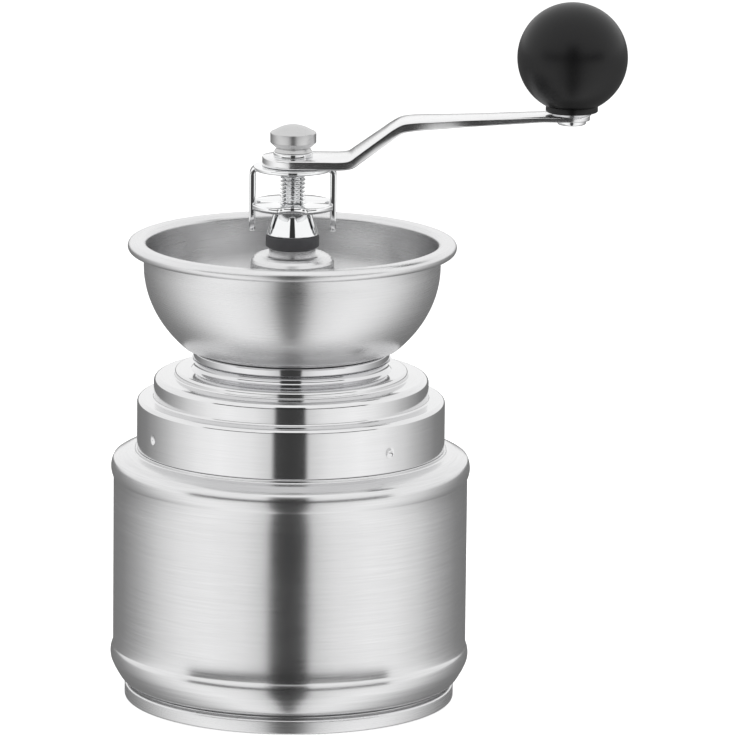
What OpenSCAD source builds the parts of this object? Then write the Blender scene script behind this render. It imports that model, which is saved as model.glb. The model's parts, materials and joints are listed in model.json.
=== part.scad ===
// Hand crank coffee grinder: a steel canister with a stepped head, an open bean bowl, ceramic burrs
// on a spindle, a grind adjusting nut held by a stirrup, and a crank with a ball knob.
// Origin at the middle of the foot, +Z up, the crank points along +X, the front is -Y.

/* [Canister] */
// Outer diameter of the canister wall
can_d = 113; // [108:0.5:136]
// Height of the straight wall between the two beads
can_wall_h = 54.3; // [45:0.1:80]
// How far the two beads stand out of the wall
bead_out = 0.8; // [0.3:0.1:1.4]
// Height of each bead
bead_h = 6.2; // [4.5:0.1:8]
// Sheet thickness of the canister, the head and the bowl
sheet = 0.8; // [0.6:0.05:1]
// Height of the foot
foot_h = 4.7; // [3.5:0.1:6]
// How far the foot stands in from the wall
foot_inset = 3.8; // [2.5:0.1:6]
// Height of the flared part between the foot and the lower bead
flare_h = 6; // [4:0.1:9]

/* [Head] */
// How far the collar of the head stands in from the canister wall
collar_inset = 7.4; // [6:0.1:9]
// Height of the collar
collar_h = 16.1; // [12:0.1:22]
// Height of the large step above the collar
big_step_h = 7.2; // [5:0.1:10]
// Height of the small step above it
small_step_h = 2.2; // [1.5:0.1:4]
// Depth of the spigot that enters the canister
spigot_h = 8; // [5:0.1:12]
// Play of the spigot in the canister neck, on the radius
spigot_play = 0.25; // [0.15:0.05:0.5]

/* [Bowl] */
// Outer diameter of the bowl wall
bowl_d = 94.4; // [84:0.2:114]
// Height of the bowl from its floor to the top of its rim
bowl_h = 35.3; // [33:0.1:44]
// How far the rolled rim reaches out of the wall
rim_w = 5.1; // [3.5:0.1:7]
// Height of the rolled rim
rim_h = 3.6; // [2.8:0.1:5]
// Outer diameter of the neck ring under the bowl
ring_d = 62.4; // [60:0.2:68]
// Height of the neck ring
ring_h = 6.2; // [4:0.1:10]

/* [Bridge] */
// Outer diameter of the upper part of the bridge
bridge_d = 26.6; // [24:0.2:32]
// Height of the bridge above the bowl floor
bridge_h = 30.4; // [26:0.1:37]
// Width of each of its three legs
leg_w = 18; // [14:0.2:20]
// Thickness of its wall
bridge_t = 2; // [1.5:0.1:2.5]
// Turn of the bridge about the spindle
bridge_turn = 3; // [0:1:20]

/* [Burrs] */
// Outer diameter of the outer burr
burr_d = 44; // [42:0.2:50]
// Height of both burrs
burr_h = 18; // [14:0.2:22]
// Gap between the burrs at the setting shown
burr_gap = 0.5; // [0.4:0.05:0.8]
// Diameter of the throat that the beans fall through
throat_d = 33; // [31:0.2:34]

/* [Spindle and nut] */
// Thread diameter of the spindle
thread_d = 8; // [7:0.1:9]
// Pitch of the spindle thread
pitch = 1.25; // [1:0.05:1.5]
// Radial clearance of running fits
running_fit = 0.05; // [0.03:0.01:0.09]
// Base diameter of the adjusting nut
nut_d = 16.8; // [15:0.1:19]
// Diameter across the lobes of the adjusting nut
lobe_d = 27.2; // [25:0.1:34]
// Bare thread between the adjusting nut and the stirrup
thread_show = 10.4; // [8:0.1:14]

/* [Crank] */
// Distance from the spindle to the knob
crank_reach = 88; // [74:1:110]
// Height of the cranked step of the arm
crank_rise = 12.4; // [9:0.1:16]
// Thickness of the arm at the hub
arm_t = 3; // [2.5:0.1:4]
// Thickness of the arm at the knob
arm_end_t = 1.8; // [1.5:0.1:2.5]
// Width of the arm at the hub
hub_w = 19.6; // [18:0.1:23]
// Width of the arm at the knob
eye_w = 11.6; // [10:0.1:14]
// Diameter of the ball knob
ball_d = 35; // [30:0.5:42]

/* [Hidden] */
$fn = 96;
eps = 0.02; // overlap that keeps cuts clean

steel = [0.80, 0.81, 0.82];
bright = [0.90, 0.90, 0.91];
ceramic = [0.93, 0.92, 0.88];
black = [0.09, 0.09, 0.10];
dark = [0.24, 0.24, 0.25];

// canister, from the floor up
can_r = can_d / 2;
foot_r = can_r - foot_inset;
seam_h = 0.7;                                // dark groove between the foot and the shell
shell_z = foot_h + seam_h;
low_bead_z = shell_z + flare_h;
wall_z = low_bead_z + bead_h;
high_bead_z = wall_z + can_wall_h;
shoulder_z = high_bead_z + bead_h;
lip_h = 1;                                   // height of the neck lip
head_z = shoulder_z + 2.2 + lip_h;           // top of the lip, where the collar sits

// head
collar_r = can_r - collar_inset;
lip_r = collar_r + 0.5;
spigot_r = collar_r - 1.15;
neck_bore_r = spigot_r + spigot_play;
ring_r = ring_d / 2;
small_step_r = ring_r + 5.9;
big_step_r = small_step_r + 6.7;
collar_z = head_z + collar_h;                // top of the collar
big_step_z = collar_z + big_step_h;
deck_z = big_step_z + small_step_h;          // top of the head
dimple_r = 3;                                // radius of the ball that makes a dimple
dimple_depth = 0.8;
dimple_z = head_z + 6.6;

// bowl
bowl_r = bowl_d / 2;
floor_z = deck_z + ring_h;                   // underside of the bowl floor
floor_r = ring_r - 1;
rim_z = floor_z + bowl_h;                    // top of the rim
rim_r = bowl_r + rim_w;
belly_z = rim_z - 8;                         // where the bowl is widest
belly_c = (belly_z - floor_z) * 1.38;        // vertical half axis of its oval
throat_r = throat_d / 2;

// bridge
seat_z = floor_z + sheet;                    // top of the bowl floor
bridge_r = bridge_d / 2;
bridge_z = seat_z + bridge_h;                // top plate of the bridge
boss_r = 7.4;
boss_h = 1.7;
foot_out = floor_r - 1.6;                    // how far the feet reach
foot_t = 2;                                  // thickness of the feet
screw_r = throat_r + 8.5;                    // circle of the three screws
screw_d = 4;
screw_len = 16;
hole_play = 0.25;                            // play of the screw holes, on the radius
screw_hole_r = screw_d / 2 + hole_play;

// spindle and bushes
spin_r = thread_d / 2;
bore_r = spin_r + running_fit;
bush_r = spin_r + 1.6;                       // outside of the bushes
bush_fit = 0.02;                             // press fit gap of the bushes
thrust_z = bridge_z + boss_h;                // underside of the thrust collar
thrust_h = 4.4;
thrust_r = 8.5;
thrust_play = 0.1;                           // axial running play
nut_z = thrust_z + thrust_h + thrust_play;   // underside of the adjusting nut
cone_h = 8.4;
cone_top_r = 5.4;
wheel_t = 2;
wheel_z = nut_z + cone_h;
stirrup_z = wheel_z + wheel_t + thread_show; // underside of the stirrup plate
stirrup_t = 1.3;
leg_t = 2;                                   // thickness of the stirrup legs
stirrup_w = 6.4;                             // width of the stirrup legs
leg_out = lobe_d / 2 + 0.2;                  // outside of the legs
leg_drop = 7.6;                              // how far the legs hang below the wheel
notch_r = 5;                                 // radius of the notches of the nut
notch_c = leg_out + 1.5;                     // where the notches are centred

// housing and burrs, hung below the head
under_z = deck_z - sheet;                    // underside of the top of the head
flange_t = 2.5;
flange_r = screw_r + 4.6;
spider_h = 9.3;                              // height of the lower bridge
spider_r = throat_r + 2;
spider_play = 0.05;
ledge_z = under_z - spider_h;
tube_r = spider_r + 1.6;                     // outside of the housing tube
burr_r = burr_d / 2;
cup_r = burr_r + 3;                          // outside of the housing round the burr
burr_top_z = ledge_z - 17;
burr_z = burr_top_z - burr_h;                // underside of the burrs
ring_t = 1.2;                                // thickness of the retaining ring
ring_in = 1.4;                               // how far the ring reaches over the burr
ring_out = 0.9;                              // how far it sits in its groove
cup_z = burr_z - ring_t - 1.2;               // lower edge of the housing
burr_play = 0.1;                             // play of the outer burr in its seat
grind_r = burr_r - 3.4;                      // inside of the outer burr at its lower edge
hub_r = bush_r + 2;                          // hub of the lower bridge
arm_w = 4;                                   // width of its arms

// lower end of the spindle
flat_w = 5.8;                                // across the flats that drive the burr
end_r = 3;                                   // radius of the two end threads
washer_t = 1.2;
end_nut_h = 5;
end_nut_flats = 10;
end_nut_z = burr_z - 2 * washer_t - end_nut_h;
tip_z = end_nut_z - 1.2;
washer_play = 0.1;                           // radial play of the washers
drive_play = 0.05;                           // play of the driving flats
wire_r = 0.6;                                // spring wire
coil_r = spin_r + 1.7;                       // mean radius of the spring
coils = 5;
coil_sides = 8;
coil_rings = 16;                             // rings of the spring in each turn

// upper end of the spindle
hub_z = stirrup_z + stirrup_t + 0.05;        // underside of the crank hub
hub_flat_w = 5.4;
hub_stub_r = 3.6;
cap_z = hub_z + arm_t;                       // underside of the cap washer
cap_washer_t = 1.4;
cap_nut_z = cap_z + cap_washer_t;
cap_r = 7.3;
cap_h = 8.7;
stud_z = cap_nut_z + 5.6;                    // top of the spindle

// arm and knob
arm_mid = hub_z + arm_t / 2;
step_x0 = 19;                                // where the arm leaves the hub level
step_x1 = 34.8;                              // where the step ends
eye_mid = arm_mid + crank_rise + 2.5;        // middle of the arm at the knob
eye_flat = 9;                                // length of the level end of the arm
eye_top = eye_mid + arm_end_t / 2;
pin_r = 3;
knob_washer_t = 0.8;
knob_z = eye_top + knob_washer_t + thrust_play;
knob_r = ball_d / 2;
collar_knob_r = 8.3;
ball_z = knob_z + knob_r - 0.2;
insert_r = 5;                                // outside of the bush in the knob
insert_h = 14;
pin_top_r = 4.2;                             // riveted head of the pin
pin_top_h = 1.5;

function arc(c, r, a0, a1, n) =
    [for (i = [0:n]) c + r * [cos(a0 + (a1 - a0) * i / n), sin(a0 + (a1 - a0) * i / n)]];

// a bead of height bead_h whose wall is at radius r, drawn inset by t
function bead(z, t) =
    let (s = (pow(bead_h / 2, 2) + pow(bead_out, 2)) / (2 * bead_out),
         a = asin(bead_h / 2 / s))
    [for (p = arc([can_r + bead_out - s, z + bead_h / 2], s, -a, a, 10)) p - [t, 0]];

// the oval of the bowl from just above the floor to its widest place, drawn inset by t
function belly(t) =
    let (a = bowl_r - t, c = belly_c - t, h = belly_z - floor_z - 1.5 - t, a0 = -asin(h / c))
    [for (i = [0:14]) [a * cos(a0 * (1 - i / 14)), belly_z + c * sin(a0 * (1 - i / 14))]];

module tube(r_out, r_in, z0, z1) {
    translate([0, 0, z0]) difference() {
        cylinder(r = r_out, h = z1 - z0);
        translate([0, 0, -1]) cylinder(r = r_in, h = z1 - z0 + 2);
    }
}

// three copies about the spindle, turned with the bridge, the first at the front
module thrice() {
    for (i = [0:2]) rotate(bridge_turn + 120 * i) children();
}

// a hole through everything at each screw
module screw_holes(z0, z1) {
    thrice() translate([0, -screw_r, z0]) cylinder(r = screw_hole_r, h = z1 - z0, $fn = 32);
}

// a round shaft with two flats
module flatted(r, w, h) {
    intersection() {
        cylinder(r = r, h = h);
        translate([-w / 2, -2 * r, 0]) cube([w, 4 * r, h]);
    }
}

module hex(flats, h) {
    cylinder(r = flats / 2 / cos(30), h = h, $fn = 6);
}

module canister_shell() {
    inner_lip = neck_bore_r;
    outer = concat(
        [[0, shell_z], [foot_r - 0.4, shell_z], [foot_r + 1.3, shell_z + 1.6]],
        [[can_r - 0.7, low_bead_z - 1.5]],
        bead(low_bead_z, 0),
        bead(high_bead_z, 0),
        [[can_r - 1.2, shoulder_z + 0.8], [lip_r + 3, shoulder_z + 1.8]],
        [[lip_r, shoulder_z + 2.2], [lip_r, head_z]]
    );
    inner = concat(
        [[inner_lip, head_z], [inner_lip, shoulder_z + 2.2 - sheet]],
        [[lip_r + 2.6, shoulder_z + 1.7 - sheet], [can_r - 1.8, shoulder_z + 0.5 - sheet]],
        [for (i = [10:-1:0]) bead(high_bead_z, sheet)[i]],
        [for (i = [10:-1:0]) bead(low_bead_z, sheet)[i]],
        [[can_r - 0.7 - sheet, low_bead_z - 1.5], [foot_r + 1.1 - sheet, shell_z + 1.9]],
        [[foot_r - 0.8 - sheet, shell_z + sheet], [0, shell_z + sheet]]
    );
    color(steel) rotate_extrude($fn = 180) polygon(concat(outer, inner));
}

module canister_base() {
    edge = 0.8;
    web = 1;
    profile = concat(
        [[0, 0]],
        arc([foot_r - edge, edge], edge, -90, 0, 5),
        arc([foot_r - edge, foot_h - edge], edge, 0, 90, 5),
        [[foot_r - 2.1, foot_h], [foot_r - 2.1, shell_z], [foot_r - 3.1, shell_z]],
        [[foot_r - 3.1, web], [0, web]]
    );
    color(bright) rotate_extrude($fn = 180) polygon(profile);
}

module head_cover() {
    e1 = 1.5;
    e2 = 2;
    e3 = 1;
    outer = concat(
        [[spigot_r, head_z - spigot_h], [spigot_r, head_z], [collar_r, head_z]],
        arc([collar_r - e1, collar_z - e1], e1, 0, 90, 6),
        [[big_step_r + 0.5, collar_z], [big_step_r, collar_z + 0.5]],
        arc([big_step_r - e2, big_step_z - e2], e2, 0, 90, 6),
        [[small_step_r + 0.3, big_step_z], [small_step_r, big_step_z + 0.3]],
        arc([small_step_r - e3, deck_z - e3], e3, 0, 90, 5),
        [[throat_r, deck_z]]
    );
    inner = [
        [throat_r, under_z],
        [small_step_r - sheet, under_z],
        [small_step_r - sheet, big_step_z - sheet],
        [big_step_r - sheet - 1, big_step_z - sheet],
        [big_step_r - sheet, big_step_z - sheet - 1],
        [big_step_r - sheet, collar_z - sheet],
        [spigot_r - sheet, collar_z - sheet],
        [spigot_r - sheet, head_z - spigot_h]
    ];
    color(steel) difference() {
        rotate_extrude($fn = 180) polygon(concat(outer, inner));
        screw_holes(under_z - 1, deck_z + 1);
        for (a = [-62, 40, 169])
            rotate(a) translate([0, -(collar_r + dimple_r - dimple_depth), dimple_z])
                sphere(r = dimple_r, $fn = 48);
    }
}

module neck_ring() {
    cove_h = ring_h - 2.8;
    profile = concat(
        [[throat_r, deck_z], [ring_r + 0.8, deck_z]],
        arc([ring_r + 0.8, deck_z + cove_h / 2 + 0.3], cove_h / 2, 250, 100, 8),
        arc([ring_r - 0.6, floor_z - 2.2], 0.6, -90, 0, 4),
        arc([ring_r - 0.6, floor_z - 0.6], 0.6, 0, 90, 4),
        [[throat_r, floor_z]]
    );
    color(bright) difference() {
        rotate_extrude($fn = 144) polygon(profile);
        screw_holes(deck_z - 1, floor_z + 1);
    }
}

module hopper_bowl() {
    wall = concat(
        [[throat_r, floor_z], [floor_r, floor_z]],
        belly(0),
        [[bowl_r, rim_z - rim_h / 2], [bowl_r - sheet, rim_z - rim_h / 2]],
        [for (i = [14:-1:0]) belly(sheet)[i]],
        [[floor_r - sheet, seat_z], [throat_r, seat_z]]
    );
    color(steel) difference() {
        rotate_extrude($fn = 180) {
            polygon(wall);
            rim_profile();
        }
        screw_holes(floor_z - 1, seat_z + 1);
    }
}

// the rolled rim, an upright wall edge with a flattened round outside it
module rim_profile() {
    k = rim_h / 2;
    translate([bowl_r - sheet + k, rim_z - k]) circle(r = k, $fn = 48);
    translate([rim_r - k, rim_z - k]) circle(r = k, $fn = 48);
    translate([bowl_r - sheet + k, rim_z - rim_h]) square([rim_r - bowl_r + sheet - 2 * k, rim_h]);
}

module bridge() {
    round_r = 3.6;
    bell_out = concat(
        [[0, bridge_z]],
        [for (i = [6:-1:0]) arc([bridge_r - round_r, bridge_z - round_r], round_r, 0, 90, 6)[i]],
        [[bridge_r + 0.4, bridge_z - 9], [bridge_r + 3, seat_z + 9], [bridge_r + 5.4, seat_z + 4]],
        [[bridge_r + 7.4, seat_z + foot_t], [foot_out, seat_z + foot_t], [foot_out, seat_z]]
    );
    bell_in = [
        [bridge_r + 6, seat_z],
        [bridge_r + 3.4, seat_z + 3.6],
        [bridge_r + 3 - bridge_t, seat_z + 9],
        [bridge_r + 0.4 - bridge_t, bridge_z - 9],
        [bridge_r - bridge_t, bridge_z - round_r],
        [bridge_r - round_r, bridge_z - bridge_t - 0.4],
        [0, bridge_z - bridge_t - 0.4]
    ];
    color(bright) difference() {
        union() {
            intersection() {
                rotate_extrude($fn = 144) polygon(concat(bell_out, bell_in));
                union() {
                    thrice() translate([-leg_w / 2, -foot_out - 1, seat_z - 1])
                        cube([leg_w, foot_out + 1, bridge_h + 2]);
                    translate([0, 0, bridge_z - round_r]) cylinder(r = bridge_r + 2, h = round_r + 2);
                }
            }
            translate([0, 0, bridge_z - 1]) cylinder(r = boss_r, h = boss_h + 1);
        }
        translate([0, 0, bridge_z - bridge_t - 2]) cylinder(r = bush_r + bush_fit, h = 10);
        screw_holes(seat_z - 1, seat_z + foot_t + 6);
        thrice() translate([0, -screw_r, seat_z + foot_t]) cylinder(r = 4.1, h = 6, $fn = 48);
    }
}

module upper_bush() {
    edge = 0.8;
    profile = [
        [bore_r, thrust_z - 5.6],
        [bush_r, thrust_z - 5.6],
        [bush_r, thrust_z],
        [thrust_r - edge - 0.4, thrust_z],
        [thrust_r, thrust_z + edge],
        [thrust_r, thrust_z + thrust_h - 0.4],
        [thrust_r - 0.4, thrust_z + thrust_h],
        [bore_r, thrust_z + thrust_h]
    ];
    color(dark) rotate_extrude() polygon(profile);
}

module burr_housing() {
    flare_z = burr_top_z + 5;
    profile = [
        [throat_r + 0.1, ledge_z],
        [spider_r + spider_play, ledge_z],
        [spider_r + spider_play, under_z],
        [flange_r, under_z],
        [flange_r, under_z - flange_t],
        [tube_r, under_z - flange_t],
        [tube_r, flare_z],
        [cup_r, burr_top_z],
        [cup_r, cup_z],
        [burr_r + burr_play, cup_z],
        [burr_r + burr_play, burr_z - ring_t - 0.05],
        [burr_r + ring_out + 0.1, burr_z - ring_t - 0.05],
        [burr_r + ring_out + 0.1, burr_z],
        [burr_r + burr_play, burr_z],
        [burr_r + burr_play, burr_top_z],
        [burr_r - 2.2, burr_top_z],
        [throat_r + 0.1, flare_z]
    ];
    color(black) difference() {
        rotate_extrude($fn = 144) polygon(profile);
        screw_holes(under_z - flange_t - 1, under_z + 1);
    }
}

// a slanted V groove whose bottom lies at radius r at height z
module groove(r, z, slant, lean, depth, len) {
    translate([0, -r, z]) rotate([lean, slant, 0]) translate([0, 0, -len / 2])
        linear_extrude(height = len) polygon([[-depth * 0.9, depth], [0, -depth], [depth * 0.9, depth]]);
}

module outer_burr() {
    throat_in = burr_r - 2.4;
    z1 = burr_z + 3.5;
    z2 = burr_z + 7;
    waist = grind_r - 1.4;
    color(ceramic) difference() {
        rotate_extrude($fn = 96) polygon([
            [grind_r, burr_z], [burr_r, burr_z], [burr_r, burr_top_z],
            [throat_in, burr_top_z], [waist, z2], [waist, z1]
        ]);
        for (i = [0:17]) rotate(20 * i) groove(waist + 0.2, burr_z + 9, 22, 0, 0.9, 32);
    }
}

module inner_burr() {
    base = grind_r - burr_gap;
    profile = [
        [0, burr_z], [base, burr_z], [base - 1.4, burr_z + 3.5],
        [base - 4.6, burr_z + 8], [hub_r, burr_top_z], [0, burr_top_z]
    ];
    color(ceramic) difference() {
        rotate_extrude($fn = 96) polygon(profile);
        translate([0, 0, burr_z - 1]) flatted(spin_r + drive_play, flat_w + 2 * drive_play, burr_h + 2);
        for (i = [0:7]) rotate(45 * i) groove(base - 4.2, burr_z + 12, -24, -32, 2.4, 22);
        for (i = [0:23]) rotate(15 * i) groove(base + 0.3, burr_z + 1.6, -26, -22, 0.8, 9);
    }
}

module burr_retaining_ring() {
    gap_w = 5;
    color(steel) difference() {
        tube(burr_r + ring_out, burr_r - ring_in, burr_z - ring_t, burr_z - 0.02);
        translate([-gap_w / 2, 0, burr_z - ring_t - 1]) cube([gap_w, burr_r + 3, ring_t + 2]);
    }
}

module lower_bridge() {
    color(steel) difference() {
        union() {
            tube(spider_r, throat_r, ledge_z, under_z);
            for (i = [0:2]) rotate(60 + 120 * i) translate([-arm_w / 2, -throat_r - 1, ledge_z])
                cube([arm_w, throat_r + 1, spider_h - 3]);
            translate([0, 0, ledge_z]) cylinder(r = hub_r, h = spider_h - 1);
        }
        translate([0, 0, ledge_z - 1]) cylinder(r = bush_r + bush_fit, h = spider_h + 2);
    }
}

module lower_bush() {
    flange = hub_r - 0.4;
    color(dark) {
        tube(bush_r, bore_r, ledge_z, ledge_z + spider_h - 1);
        tube(flange, bore_r, ledge_z + spider_h - 1, ledge_z + spider_h + 0.2);
    }
}

module bridge_screws() {
    head_r = 3.8;
    head_h = 2.4;
    color(bright) thrice() translate([0, -screw_r, seat_z + foot_t]) difference() {
        union() {
            cylinder(r = head_r, h = head_h, $fn = 48);
            translate([0, 0, -screw_len]) cylinder(r = screw_d / 2, h = screw_len + 1, $fn = 48);
        }
        for (a = [0, 90]) rotate(a) translate([-2.4, -0.45, head_h - 1.3]) cube([4.8, 0.9, 2]);
    }
}

module bridge_nuts() {
    nut_h = 3.2;
    color(steel) thrice() translate([0, -screw_r, under_z - flange_t - nut_h]) difference() {
        hex(7, nut_h);
        translate([0, 0, -1]) cylinder(r = screw_d / 2 + bush_fit, h = nut_h + 2, $fn = 48);
    }
}

module spring_washer() {
    color(steel) tube(hub_r, spin_r + washer_play, ledge_z - thrust_play - washer_t, ledge_z - thrust_play);
}

// the burr spring, a round wire swept along a helix with flat lying ends
module burr_spring() {
    z0 = burr_top_z + wire_r + 0.1;
    z1 = ledge_z - thrust_play - washer_t - wire_r - 0.1;
    n = coils * coil_rings;
    lead = function (t) t < 0.12 ? 0 : t > 0.88 ? 1 : (t - 0.12) / 0.76;
    points = [
        for (i = [0:n], k = [0:coil_sides - 1])
            let (a = 360 * i / coil_rings, b = 360 * k / coil_sides, r = coil_r + wire_r * cos(b),
                 m = lead(i / n) * (1 - 0.02) + 0.02 * i / n)
            [r * cos(a), r * sin(a), z0 + (z1 - z0) * m + wire_r * sin(b)]
    ];
    sides = [
        for (i = [0:n - 1], k = [0:coil_sides - 1])
            let (a = i * coil_sides + k, b = i * coil_sides + (k + 1) % coil_sides)
            [a, a + coil_sides, b + coil_sides, b]
    ];
    ends = [
        [for (k = [0:coil_sides - 1]) k],
        [for (k = [coil_sides - 1:-1:0]) n * coil_sides + k]
    ];
    color(steel) polyhedron(points = points, faces = concat(sides, ends), convexity = 8);
}

module adjusting_nut() {
    top_r = bore_r + 1;
    color(bright) difference() {
        union() {
            translate([0, 0, nut_z]) cylinder(r1 = nut_d / 2, r2 = cone_top_r, h = cone_h + eps);
            translate([0, 0, wheel_z]) difference() {
                cylinder(r = lobe_d / 2, h = wheel_t);
                for (a = [0:90:270]) rotate(a) translate([notch_c, 0, -1])
                    cylinder(r = notch_r, h = wheel_t + 2);
            }
        }
        translate([0, 0, nut_z - 1]) cylinder(r = bore_r, h = cone_h + wheel_t + 2);
        translate([0, 0, wheel_z + wheel_t - 0.6]) cylinder(r1 = bore_r, r2 = top_r, h = 0.61);
    }
}

module spindle() {
    thread_z0 = nut_z + 0.6;
    thread_z1 = stirrup_z - 0.4;
    depth = 0.6 * pitch;
    turns = floor((thread_z1 - thread_z0) / pitch);
    ridge = [
        for (i = [0:turns - 1])
            each [
                [spin_r, thread_z0 + i * pitch], [spin_r, thread_z0 + (i + 0.12) * pitch],
                [spin_r - depth, thread_z0 + (i + 0.5) * pitch],
                [spin_r, thread_z0 + (i + 0.88) * pitch]
            ]
    ];
    shaft = concat(
        [[0, burr_top_z], [spin_r, burr_top_z]],
        ridge,
        [[spin_r, stirrup_z - 0.4], [spin_r - 0.4, stirrup_z], [0, stirrup_z]]
    );
    color(bright) {
        rotate_extrude($fn = 64) polygon(shaft);
        translate([0, 0, burr_z + 0.2]) flatted(spin_r, flat_w, burr_h + 1);
        translate([0, 0, tip_z]) cylinder(r = end_r, h = burr_z + 1 - tip_z);
        translate([0, 0, stirrup_z - 1]) flatted(hub_stub_r, hub_flat_w, cap_z - 0.3 - stirrup_z + 1);
        translate([0, 0, stirrup_z]) cylinder(r = hub_flat_w / 2, h = stud_z - stirrup_z);
    }
}

module burr_washer() {
    color(steel) tube(9, end_r + washer_play, burr_z - washer_t, burr_z);
}

// a split washer with a slanted gap
module burr_lock_washer() {
    color(steel) difference() {
        tube(5.6, end_r + washer_play, burr_z - 2 * washer_t, burr_z - washer_t);
        translate([0, 4, burr_z - 1.5 * washer_t]) rotate([0, 30, 0])
            cube([0.9, 8, 6], center = true);
    }
}

module burr_nut() {
    color(steel) translate([0, 0, end_nut_z]) difference() {
        hex(end_nut_flats, end_nut_h);
        translate([0, 0, -1]) cylinder(r = end_r + bush_fit, h = end_nut_h + 2);
    }
}

// the side of the arm: level hub, cranked step, rising blade, level eye
function arm_line(side) =
    let (t0 = side * arm_t / 2, t1 = side * arm_end_t / 2,
         x2 = crank_reach - eye_flat, z1 = arm_mid + crank_rise, bend = 2.2)
    [
        [-hub_w, arm_mid + t0],
        [step_x0 - bend, arm_mid + t0],
        [step_x0 + (side > 0 ? -0.4 : 0.4) , arm_mid + t0 + 0.35],
        [step_x0 + bend + (side > 0 ? -1.2 : 1.2), arm_mid + t0 + 1.6],
        [step_x1 - bend + (side > 0 ? -1.2 : 1.2), z1 + t0 - 1.5],
        [step_x1 + (side > 0 ? -0.4 : 0.4), z1 + t0 - 0.3],
        [step_x1 + bend, z1 + t0 * 0.97 + 0.1],
        [x2, eye_mid + t1],
        [crank_reach + eye_w, eye_mid + t1]
    ];

// the plan of the arm: round hub, tapering blade, round eye
module arm_plan() {
    hub = hub_w / 2;
    mid_x = step_x1 + 23;
    circle(r = hub, $fn = 96);
    translate([crank_reach, 0]) circle(r = eye_w / 2, $fn = 64);
    polygon([
        [0, -hub], [step_x0 - 4, -hub + 0.2], [step_x1, -hub * 0.79], [mid_x, -eye_w / 2 - 0.1],
        [crank_reach, -eye_w / 2], [crank_reach, eye_w / 2], [mid_x, eye_w / 2 + 0.1],
        [step_x1, hub * 0.79], [step_x0 - 4, hub - 0.2], [0, hub]
    ]);
}

module crank_arm() {
    low = arm_line(-1);
    high = arm_line(1);
    side = concat(low, [for (i = [len(high) - 1:-1:0]) high[i]]);
    color(bright) difference() {
        intersection() {
            translate([0, hub_w, 0]) rotate([90, 0, 0]) linear_extrude(height = 2 * hub_w) polygon(side);
            translate([0, 0, hub_z - 1]) linear_extrude(height = eye_top - hub_z + 4) arm_plan();
        }
        translate([0, 0, hub_z - 1])
            flatted(hub_stub_r + drive_play, hub_flat_w + 2 * drive_play, arm_t + 2);
        translate([crank_reach, 0, eye_mid - 3]) cylinder(r = pin_r + 0.02, h = 6, $fn = 48);
    }
}

module cap_washer() {
    color(bright) tube(6.3, hub_flat_w / 2 + washer_play, cap_z, cap_z + cap_washer_t);
}

module cap_nut() {
    waist_z = cap_nut_z + 1.2;
    wide_z = waist_z + 1.8;
    profile = concat(
        [[0, cap_nut_z], [6, cap_nut_z], [5.4, waist_z], [cap_r, wide_z], [cap_r, wide_z + 3]],
        arc([cap_r - 1.1, wide_z + 3], 1.1, 20, 60, 3),
        [[3.6, cap_nut_z + cap_h - 0.35], [1.8, cap_nut_z + cap_h - 0.05], [0, cap_nut_z + cap_h]]
    );
    color(bright) difference() {
        rotate_extrude() polygon(profile);
        translate([0, 0, cap_nut_z - 1]) cylinder(r = hub_flat_w / 2 + bush_fit, h = stud_z - cap_nut_z + 1.2);
    }
}

module knob_pin() {
    low_head_h = 1.4;
    low_head_r = 4.6;
    z0 = eye_mid - arm_end_t / 2 - low_head_h;
    top = knob_z + 0.6 + insert_h + thrust_play;
    profile = [
        [0, z0], [low_head_r - 0.5, z0], [low_head_r, z0 + 0.5], [low_head_r, z0 + low_head_h],
        [pin_r, z0 + low_head_h], [pin_r, top], [pin_top_r, top], [pin_top_r, top + pin_top_h - 0.4],
        [pin_top_r - 0.8, top + pin_top_h], [0, top + pin_top_h]
    ];
    color(bright) translate([crank_reach, 0, 0]) rotate_extrude() polygon(profile);
}

module knob_washer() {
    color(steel) translate([crank_reach, 0, 0])
        tube(pin_r + 3.2, pin_r + washer_play, eye_top, eye_top + knob_washer_t);
}

module stirrup() {
    bend = 3;
    half = stirrup_w / 2;
    z0 = wheel_z - leg_drop;
    top = stirrup_z + stirrup_t;
    side = concat(
        [[0, top]],
        [for (i = [6:-1:0]) arc([leg_out - bend, top - bend], bend, 0, 90, 6)[i]],
        [[leg_out, z0], [leg_out - leg_t, z0]],
        arc([leg_out - bend, top - bend], bend - leg_t, 0, 90, 4),
        [[leg_out - bend - 1.5, stirrup_z], [0, stirrup_z]]
    );
    color(bright) difference() {
        union() {
            for (m = [0, 1]) mirror([m, 0, 0]) intersection() {
                translate([0, half, 0]) rotate([90, 0, 0]) linear_extrude(height = stirrup_w) polygon(side);
                union() {
                    translate([leg_out - 6, 0, z0 + half]) rotate([0, 90, 0])
                        cylinder(r = half, h = 8, $fn = 48);
                    translate([0, -half, z0 + half]) cube([leg_out + 1, stirrup_w, top - z0]);
                }
            }
            translate([0, 0, stirrup_z]) cylinder(r = leg_out - 1.2, h = stirrup_t);
        }
        translate([0, 0, stirrup_z - 1]) cylinder(r = hub_stub_r + running_fit, h = stirrup_t + 2);
    }
}

module knob() {
    neck = collar_knob_r;
    meet_z = ball_z - sqrt(pow(knob_r, 2) - pow(neck - 0.2, 2));
    pocket_h = insert_h + pin_top_h + 1.2;
    color(black) translate([crank_reach, 0, 0]) difference() {
        union() {
            translate([0, 0, ball_z]) sphere(r = knob_r, $fn = 144);
            rotate_extrude() polygon([
                [0, knob_z], [neck - 0.6, knob_z], [neck, knob_z + 0.6],
                [neck - 0.2, meet_z + 0.4], [0, meet_z + 3]
            ]);
        }
        translate([0, 0, knob_z - 1]) cylinder(r = insert_r + bush_fit, h = pocket_h + 1.6);
    }
}

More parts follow.
